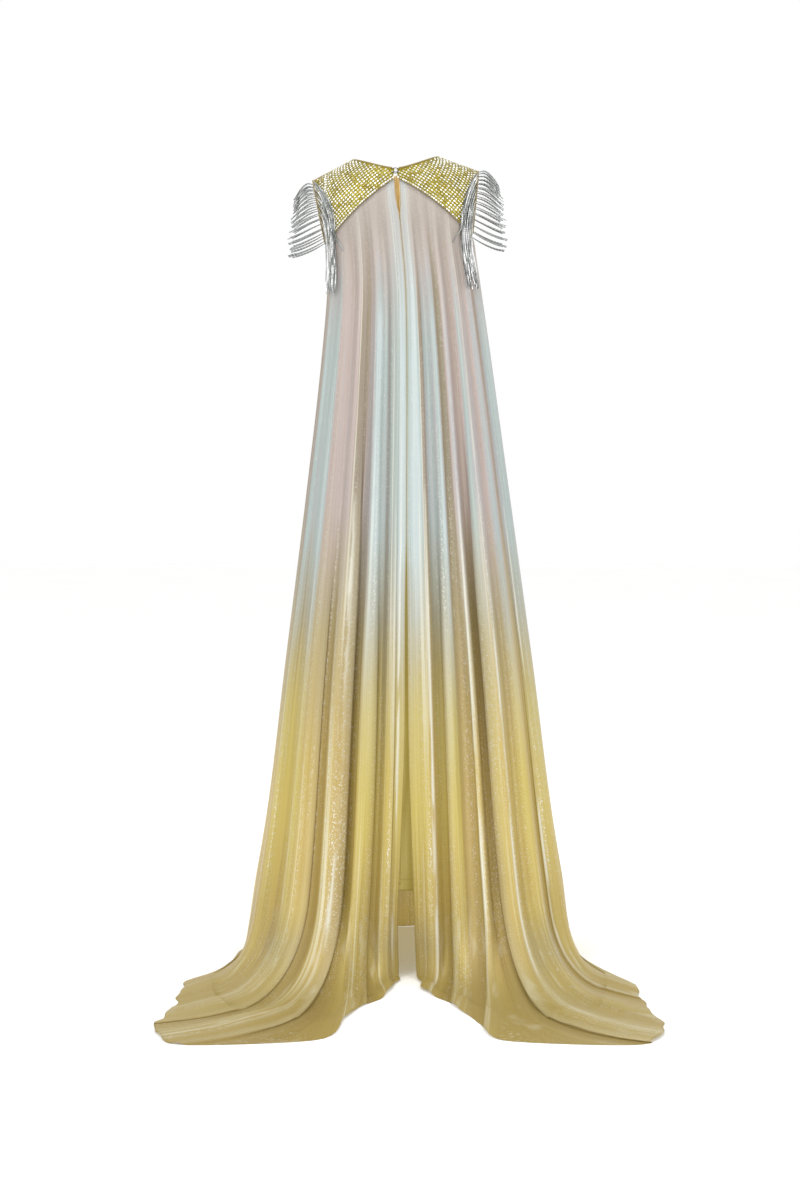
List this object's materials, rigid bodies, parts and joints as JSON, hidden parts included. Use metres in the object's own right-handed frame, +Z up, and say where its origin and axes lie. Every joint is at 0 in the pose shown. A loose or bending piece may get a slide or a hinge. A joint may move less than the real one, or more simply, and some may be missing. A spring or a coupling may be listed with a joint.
{
  "type": "kaftan dress",
  "caption": "Long sleeveless evening kaftan with a stone-set yoke, beaded fringe at the armholes, a buttoned keyhole back, sheer panels over a satin lining and a parted train.",
  "frame": {"origin": "midway between the two shoulder seams, at their middle height", "axes": "+Z up, +Y the way the wearer faces, +X the wearer's right; the floor lies at z = -1.51"},
  "size_m": [0.8579, 0.877, 1.5304],
  "materials": {
    "sheer_cloth": "sheer lurex chiffon, pale above and gold below, changing colour with the folds",
    "satin_lining": "gold satin",
    "stone_yoke": "gold mesh set with rows of clear stones",
    "silver_beads": "silver-lined glass beads on threads",
    "button_metal": "polished, silver coloured",
    "loop_cord": "thin twisted cord"
  },
  "bodies": {
    "root": {"yoke_back_left": "stone_yoke", "yoke_back_right": "stone_yoke", "yoke_front": "stone_yoke", "back_panel_left": "sheer_cloth", "back_panel_right": "sheer_cloth", "front_panel": "sheer_cloth", "lining_back_left": "satin_lining", "lining_back_right": "satin_lining", "lining_front": "satin_lining", "fringe_back_left": "silver_beads", "fringe_back_right": "silver_beads", "fringe_front_left": "silver_beads", "fringe_front_right": "silver_beads", "neck_button": "button_metal", "neck_loop": "loop_cord"}
  },
  "joints": []
}
